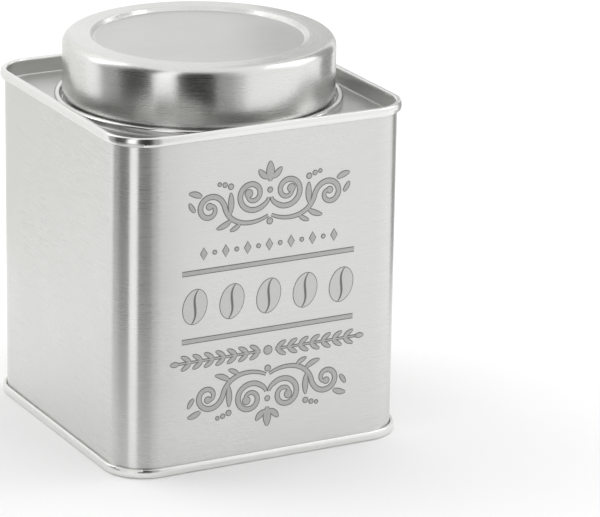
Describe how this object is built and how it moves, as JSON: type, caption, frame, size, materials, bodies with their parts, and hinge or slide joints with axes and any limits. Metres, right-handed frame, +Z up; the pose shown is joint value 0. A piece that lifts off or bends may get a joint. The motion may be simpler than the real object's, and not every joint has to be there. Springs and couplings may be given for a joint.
{
  "type": "coffee tin",
  "caption": "Square brushed-metal storage tin with rounded corners, double-seamed ends, a sunken top, a round neck and a round lift-off slip lid.",
  "frame": {"origin": "centre of the base, on the surface the tin stands on (underside of the bottom seam)", "axes": "+Z up through the neck and lid; the decorated front faces -Y; the lock seam runs up the back, +Y; X is across the front"},
  "size_m": [0.105, 0.105, 0.1302],
  "materials": {
    "body_sheet": "brushed round the body, clear lacquered, front etched matt with an ornament",
    "end_sheet": "satin, rolled seams brighter",
    "base_sheet": "plain mill tinplate",
    "neck_sheet": "satin, brushed round",
    "lid_sheet": "brushed round the skirt, satin on the crown",
    "compound": "matt",
    "seal": "soft, matt"
  },
  "bodies": {
    "tin": {"body_wall": "body_sheet", "base_plate": "base_sheet", "base_seam_compound": "compound", "top_plate": "end_sheet", "top_seam_compound": "compound", "neck_collar": "neck_sheet"},
    "seal_ring": {"lid_seal": "seal"},
    "lid": {"lid_shell": "lid_sheet"}
  },
  "joints": [
    {"name": "lid_lift", "type": "slide", "parent": "tin", "child": "seal_ring", "axis": [0, 0, 1], "range_m": [0, 0.06]},
    {"name": "lid_turn", "type": "hinge", "parent": "seal_ring", "child": "lid", "pos_m": [0, 0, 0.12], "axis": [0, 0, 1], "continuous": true}
  ]
}
